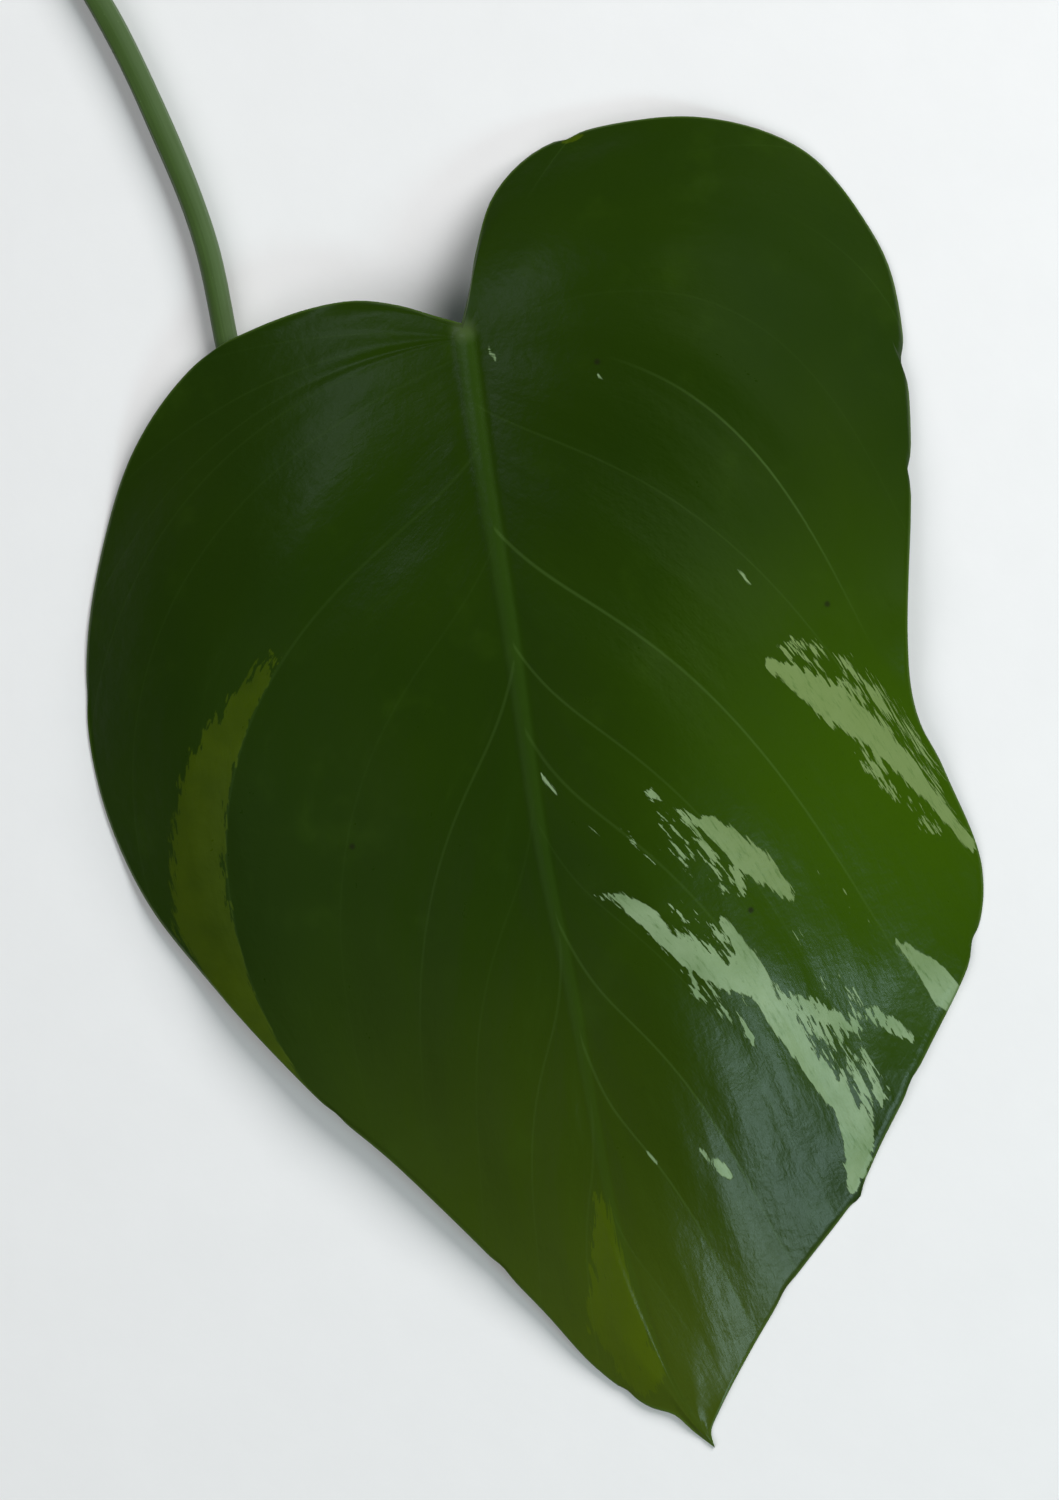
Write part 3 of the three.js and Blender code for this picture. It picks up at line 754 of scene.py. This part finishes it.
# %% Define signals
class Signal:
    """One output of a shader node. Arithmetic with other signals or with numbers adds Math nodes."""

    def __init__(self, tree, socket=None):
        self.tree, self.socket = tree, socket

    def node(self, kind, settings, inputs, output=0):
        """Adds a node of this type, applies its settings, then gives its sockets their values or
        signals. One of its outputs comes back."""
        made = self.tree.nodes.new(kind)
        for name, value in settings.items():
            setattr(made, name, value)
        for name, value in inputs.items():
            if isinstance(value, Signal):
                self.tree.links.new(value.socket, made.inputs[name])
            else:
                made.inputs[name].default_value = value
        return Signal(self.tree, made.outputs[output])

    def math(self, operation, *values):
        return self.node("ShaderNodeMath", {"operation": operation}, dict(enumerate(values)))

    def __add__(self, other):
        return self.math("ADD", self, other)

    def __sub__(self, other):
        return self.math("SUBTRACT", self, other)

    def __rsub__(self, other):
        return self.math("SUBTRACT", other, self)

    def __mul__(self, other):
        return self.math("MULTIPLY", self, other)

    __radd__, __rmul__ = __add__, __mul__

    def value(self, name):
        """A named value stored at the mesh's points."""
        return self.node("ShaderNodeAttribute", {"attribute_name": name}, {}, "Fac")

    def vector(self, name, stretch=(1, 1, 1)):
        """A named vector stored at the mesh's points, each part times its stretch."""
        read = self.node("ShaderNodeAttribute", {"attribute_name": name}, {}, "Vector")
        return self.node("ShaderNodeVectorMath", {"operation": "MULTIPLY"}, {0: read, 1: stretch})

    def noise(self, vector, scale, detail=3.0, rough=0.5):
        """Cloudy noise, spread over about -1 to 1."""
        sockets = {"Vector": vector, "Scale": scale, "Detail": detail, "Roughness": rough}
        return (self.node("ShaderNodeTexNoise", {}, sockets, "Fac") - 0.5) * 3.2

    def rises(self, low, high):
        """0 below low, 1 above high, and a smooth S between. With low above high, it falls instead."""
        sockets = {"Value": self, "From Min": low, "From Max": high}
        return self.node("ShaderNodeMapRange", {"interpolation_type": "SMOOTHSTEP"}, sockets)

    def mix(self, first, second):
        """Of two colours, the first where this signal is 0, and the second where it is 1."""
        return self.node("ShaderNodeMix", {"data_type": "RGBA"}, {0: self, 6: first, 7: second}, 2)


def screen(red, green, blue):
    """A colour as a screen shows it, 0 to 255, turned into the light that shaders count in."""
    parts = np.array([red, green, blue]) / 255
    light = np.where(parts > 0.04045, ((parts + 0.055) / 1.055) ** 2.4, parts / 12.92)
    return (*light.tolist(), 1.0)


def paint(ground, layers):
    """Lays colours over a ground, one after another. A layer is a mask, how strongly it covers, and the
    colour that it brings, as a screen shows it."""
    for mask, strength, colour in layers:
        ground = (mask * strength).mix(ground, screen(*colour))
    return ground


def new_finish(name, specular):
    """A material with a plain glossy shader, whose specular level is set on the shader. Gives the
    material, a signal to start from, and a function that connects colour, roughness and height."""
    material = bpy.data.materials.new(name)
    material.use_nodes = True
    tree = material.node_tree
    shader = tree.nodes["Principled BSDF"]
    shader.inputs["Specular IOR Level"].default_value = specular
    start = Signal(tree)

    def connect(colour, roughness, height, distance):
        bump = start.node("ShaderNodeBump", {}, {"Height": height, "Distance": distance})
        tree.links.new(colour.socket, shader.inputs["Base Color"])
        tree.links.new(roughness.socket, shader.inputs["Roughness"])
        tree.links.new(bump.socket, shader.inputs["Normal"])

    return material, start, connect


# %% [markdown]
# ## The upper face
# Its green is deep, because the leaf grew in weak light, and its skin is smooth and a little waxy. Under
# the gloss there are slow patches of lighter and darker tissue, fine streaks along the veins, a lighter
# midrib, and thin pale veins. The cream patches hold no green at all, and their feathered ends are made
# of single streaks of cells. What runs along the veins reads the growth coordinates stored in the mesh,
# and what lies across them reads the object's own.

# %% Make the upper face's finish
PATCH_RETREAT = 0.22  # how far a torn edge lies inside its stroke, on the noise's scale


def variegation(start, name, streak_length):
    """A patch's mask: the depth in the stroke, plus ragged noise in streaks along the veins, taken
    across zero. Coarse noise makes the fingers, and fine noise their torn edges."""
    growth = start.vector("growth", (1, 1 / streak_length, 1))
    finer = start.vector("growth", (1, 0.5 / streak_length, 1))
    torn = start.noise(growth, 0.5, 2.0, 0.6) + start.noise(finer, 1.5, 3.0, 0.65) * 0.9
    depth = start.value(name) + start.value(name + "_ragged") * (torn - PATCH_RETREAT)
    return depth.rises(-0.15, 0.15)


def near(start, place, x, y, far, close):
    """1 within the close distance of a point of the drawing, falling to 0 at the far one, as seen from
    above."""
    spot = ((np.array([x, y]) + OFFSET[:2]) * MM).tolist()
    level = start.node("ShaderNodeVectorMath", {"operation": "MULTIPLY"}, {0: place, 1: (1, 1, 0)})
    sockets = {0: level, 1: (*spot, 0)}
    away = start.node("ShaderNodeVectorMath", {"operation": "DISTANCE"}, sockets, "Value")
    return away.rises(far * MM, close * MM)


# Where the green drifts to another: ((x, y, far and close distance), how strongly, the other green)
DRIFTS = [
    ((68, -110, 80, 5), 0.95, (48, 76, 0)),  # the lower right
    ((-30, -178, 85, 5), 0.7, (54, 72, 8)),  # the lower left
    ((-12, -214, 56, 4), 0.8, (64, 80, 16)),  # the tip
]
SCARS = [(24, -10.5), (30, -121), (-43, -92), (58, -66)]  # pinpricks


def upper_finish():
    """Green, then lime and a painted shade beside the joint, then cream, then midrib, joint and veins,
    then the rim and the scars, each laid over the last by its mask."""
    material, start, connect = new_finish("waxy_green_leaf", 0.24)
    growth = start.vector("growth", (1, 0.22, 1))
    place = start.node("ShaderNodeTexCoord", {}, {}, "Object")
    calm = start.value("calm")
    slow = start.noise(place, 24, 2.0)
    cloudy = start.noise(place, 75, 3.0, 0.6)
    streaks = start.noise(growth, 0.35, 4.0, 0.6) * calm
    grain = start.noise(place, 900, 3.0, 0.6)
    green = (slow * 0.5 + 0.5).mix(screen(26, 47, 3), screen(34, 55, 2))
    green = paint(green, [(near(start, place, *spot), strong, other) for spot, strong, other in DRIFTS])
    green = paint(green, [
        (cloudy.rises(0.1, 1.3), 0.3, (52, 78, 12)),
        (streaks.rises(0.2, 1.2), 0.12, (56, 82, 16)),
        (grain.rises(0.1, 1.2), 0.2, (24, 44, 5)),
        (variegation(start, "lime", 2), 0.42 + 0.2 * cloudy, (76, 94, 0)),
        # painted shade: a darker patch beside the joint, on the right half
        (near(start, place, 12, -20, 42, 6), 0.45, (22, 40, 0)),
    ])
    cream = variegation(start, "cream", 4)
    pale = (cloudy * 0.5 + 0.5).mix(screen(104, 130, 86), screen(138, 160, 122))
    pale = paint(pale, [
        (near(start, place, 62, -96, 55, 25), 0.7, (100, 120, 54)),
        (start.noise(growth, 1.1, 4.0, 0.7).rises(0, 1), 0.8, (66, 98, 40)),
    ])
    rib = start.value("rib").rises(1.3, 0.55) * (1 - 0.75 * start.value("rib_share"))
    vein = start.value("vein").rises(1.5, 0.3) * start.value("vein_show")
    scars = [(near(start, place, x, y, 0.9, 0.2), 0.8, (26, 30, 12)) for x, y in SCARS]
    colour = paint(cream.mix(green, pale), [
        (rib, 0.3, (56, 86, 26)),
        (near(start, place, 0, 1.5, 3.6, 0.5), 0.3, (98, 116, 74)),
        (vein, 0.42, (88, 118, 56)),
        (start.value("edge").rises(0.5, 0.15), 0.6, (70, 94, 34)),
    ] + scars)
    roughness = 0.3 + streaks * 0.03 + cream * 0.05 + grain * 0.02
    wrinkle = start.noise(start.vector("growth", (1, 0.4, 1)), 0.3, 3.0, 0.5) * calm
    crepe = start.noise(place, 230, 3.0, 0.6)
    height = wrinkle * 0.3 + crepe * 0.4 + start.noise(growth, 2.6, 2.0) * calm * 0.05 - cream * 0.2
    connect(colour, roughness, height, 0.00012)
    return material


upper = upper_finish()
print("upper face:", len(upper.node_tree.nodes), "nodes")

# %% [markdown]
# ## The underside
# A leaf breathes through its underside. Tiny air spaces there scatter the light, so it is paler, greyer
# and almost without gloss. The veins stand out as pale ridges, and a variegated patch shows through.

# %% Make the underside's finish
def under_finish():
    """Pale green, with the patches shining through, pale veins, and a fine grain of pores."""
    material, start, connect = new_finish("matte_leaf_underside", 0.2)
    growth = start.vector("growth", (1, 0.3, 1))
    place = start.node("ShaderNodeTexCoord", {}, {}, "Object")
    slow = start.noise(place, 30, 2.0)
    streaks = start.noise(growth, 0.4, 4.0, 0.6)
    pores = start.noise(place, 1500, 2.0, 0.7)
    green = (slow * 0.5 + 0.5).mix(screen(74, 108, 50), screen(88, 124, 60))
    vein = start.value("vein").rises(2, 0.6) * start.value("vein_show")
    colour = paint(green, [
        (streaks.rises(0, 1.2), 0.3, (104, 136, 76)),
        (variegation(start, "lime", 6), 0.5, (124, 142, 62)),
        (variegation(start, "cream", 4), 0.9, (186, 200, 164)),
        (start.value("rib").rises(1.3, 0.7), 0.8, (136, 166, 98)),
        (vein, 0.75, (128, 158, 92)),
    ])
    height = pores * 0.3 + start.noise(growth, 0.9, 3.0) * 0.6
    connect(colour, 0.58 + pores * 0.04, height, 0.00012)
    return material


under = under_finish()
print("underside:", len(under.node_tree.nodes), "nodes")

# %% Give the blade its two faces
blade.data.materials.append(upper)
blade.data.materials.append(under)
normals = np.empty(len(blade.data.polygons) * 3, np.float32)
blade.data.polygons.foreach_get("normal", normals)
facing_down = (normals.reshape(-1, 3)[:, 2] < 0).astype(np.int32)
blade.data.polygons.foreach_set("material_index", facing_down)
print("faces below:", facing_down.sum(), "of", len(facing_down))

# %% [markdown]
# ## The stalk's skin and its cut end
# The stalk is greyer than the blade, with darker lines along it and scattered pale flecks where it
# breathes. The cut end shows the pale pith, dotted with the bundles that carry the sap, inside a thin
# green skin.

# %% Make the stalk's finishes
def stalk_finish():
    """Grey-green, with painted light along one side and painted shade along the opposite side, with
    lengthwise lines and pale flecks, and a yellower knee."""
    material, start, connect = new_finish("lined_green_stalk", 0.3)
    lines = start.noise(start.vector("grain", (1, 1, 0.03)), 1.3, 3.0, 0.6)
    clouds = start.noise(start.vector("grain"), 0.08, 2.0)
    spots = start.noise(start.vector("grain", (1, 1, 0.45)), 1.9, 2.0, 0.5)
    green = (clouds * 0.5 + 0.5).mix(screen(58, 80, 34), screen(66, 90, 44))
    flecks = spots.rises(0.75, 1.1)
    colour = paint(green, [
        # painted light on one side of the stalk, then painted shade on the opposite side
        (start.value("lit_side").rises(0.1, 1), 0.8, (80, 100, 64)),
        (start.value("lit_side").rises(-0.1, -0.9), 0.7, (42, 58, 26)),
        (lines.rises(0, 1.1), 0.2, (46, 68, 34)),
        (flecks, 0.55, (136, 164, 118)),
        (start.value("share").rises(0.14, 0.02), 0.6, (92, 124, 56)),
    ])
    height = lines * 0.5 + flecks * 0.5
    connect(colour, 0.48 + lines * 0.05, height, 0.00008)
    return material


def cut_finish():
    """Pale pith that darkens to a green skin at the rim, with darker dots for the sap bundles."""
    material, start, connect = new_finish("cut_stalk_end", 0.15)
    grain = start.vector("grain", (1, 1, 0))
    out = start.value("out")
    dots = start.node("ShaderNodeTexVoronoi", {"voronoi_dimensions": "2D"}, {"Vector": grain, "Scale": 1.25})
    fibres = start.noise(grain, 3.0, 3.0, 0.6)
    pith = (fibres * 0.5 + 0.5).mix(screen(150, 168, 116), screen(178, 188, 144))
    pith = (dots.rises(0.3, 0.12) * 0.6).mix(pith, screen(98, 112, 60))
    colour = (out + fibres * 0.02).rises(0.78, 0.93).mix(pith, screen(72, 104, 50))
    connect(colour, 0.7 + fibres * 0.05, fibres * 0.6 - dots.rises(0.3, 0.1), 0.0001)
    return material


SKIN_END = 0.02  # faces further than this beyond the line's end belong to the cut
stalk.data.materials.append(stalk_finish())
stalk.data.materials.append(cut_finish())
middles = np.empty(len(stalk.data.polygons) * 3, np.float32)
stalk.data.polygons.foreach_get("center", middles)
beyond = (middles.reshape(-1, 3) / MM - (centre[STALK_STEPS] + OFFSET)) @ directions[0][-1]
on_cut = (beyond > SKIN_END).astype(np.int32)
stalk.data.polygons.foreach_set("material_index", on_cut)
print("faces on the cut end:", on_cut.sum())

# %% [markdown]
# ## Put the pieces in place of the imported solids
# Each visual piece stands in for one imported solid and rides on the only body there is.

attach(blade, "root")
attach(stalk, "root")
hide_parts("leaf_blade")
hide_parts("leaf_stalk")
print("pieces:", blade.name, "and", stalk.name)

# %% [markdown]
# ## Table, light and camera
# The table is a plain pale sheet. A glossy leaf mirrors what is above it, and the image of a big lamp
# would turn its green grey. So the key and the fill light leave no reflection, the room is dim, and two
# small lights give the sheens on the slopes that face them. The camera looks straight down.

# %% Lay the table
def lay_table():
    """A flat sheet of paper 4 m wide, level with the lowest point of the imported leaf."""
    sheet = bpy.data.meshes.new("table")
    reach, level = 2.0, cad_low[2]
    sheet.from_pydata([(-reach, -reach, level), (reach, -reach, level), (reach, reach, level),
                       (-reach, reach, level)], [], [(0, 1, 2, 3)])
    made = bpy.data.objects.new("table", sheet)
    bpy.context.scene.collection.objects.link(made)
    material, start, connect = new_finish("white_paper", 0.1)
    place = start.node("ShaderNodeTexCoord", {}, {}, "Object")
    fleece = start.noise(place, 60, 4.0, 0.6)
    colour = (fleece * 0.5 + 0.5).mix((0.79, 0.79, 0.79, 1), (0.81, 0.81, 0.81, 1))
    connect(colour, 0.85 + fleece * 0.02, fleece, 0.00005)
    sheet.materials.append(material)
    return made


lay_table()
print("table at a height of", round(cad_low[2] / MM, 3))

# %% Light it
middle = (np.array(cad_low) + np.array(cad_high)) / 2


def soft_light(name, direction, distance, width, power, colour, mirrored):
    """A square area light at a distance in a direction from the leaf's middle, facing it. One that
    isn't mirrored lights the leaf but leaves no reflection, as a polarised studio light does."""
    light = bpy.data.lights.new(name, "AREA")
    light.shape, light.size, light.energy, light.color = "SQUARE", width, power, colour
    lamp = bpy.data.objects.new(name, light)
    towards = Vector(direction).normalized()
    lamp.location = Vector(middle.tolist()) + towards * distance
    lamp.rotation_euler = towards.to_track_quat("Z", "Y").to_euler()
    lamp.visible_glossy = mirrored
    bpy.context.scene.collection.objects.link(lamp)
    print("light:", name, "from", [round(part, 2) for part in towards])


soft_light("key", (0.75, 0.35, 0.75), 1.3, 0.9, 18, (1, 1, 1), False)
soft_light("fill", (-0.6, -0.3, 0.75), 1.6, 1.2, 11, (1, 1, 1), False)
soft_light("window", (0.5, -0.645, 0.575), 1.1, 0.24, 2, (0.66, 0.95, 0.98), True)
soft_light("skylight", (-0.24, 0.56, 0.79), 1.2, 0.36, 0.7, (0.8, 0.92, 1), True)
world = bpy.data.worlds.new("dim_room")
bpy.context.scene.world = world
world.use_nodes = True
world.node_tree.nodes["Background"].inputs["Color"].default_value = (0.5, 0.5, 0.5, 1)
world.node_tree.nodes["Background"].inputs["Strength"].default_value = 0.1
bpy.context.scene.view_settings.view_transform = "Standard"

# %% Point the camera
VIEWPOINT = np.array([-5.25, -81.2, 708])  # in the drawing, straight above the blade
TURN = math.radians(-12.6)  # clockwise from above, so the leaf itself leans the other way
camera = bpy.data.cameras.new("camera")
camera.lens, camera.sensor_width = 85, 36
camera.clip_start, camera.clip_end = 0.01, 20
viewer = bpy.data.objects.new("camera", camera)
viewer.location = ((VIEWPOINT + OFFSET) * MM).tolist()
viewer.rotation_euler = (0, 0, TURN)
bpy.context.scene.collection.objects.link(viewer)
bpy.context.scene.camera = viewer
print("camera:", [round(part, 3) for part in viewer.location])
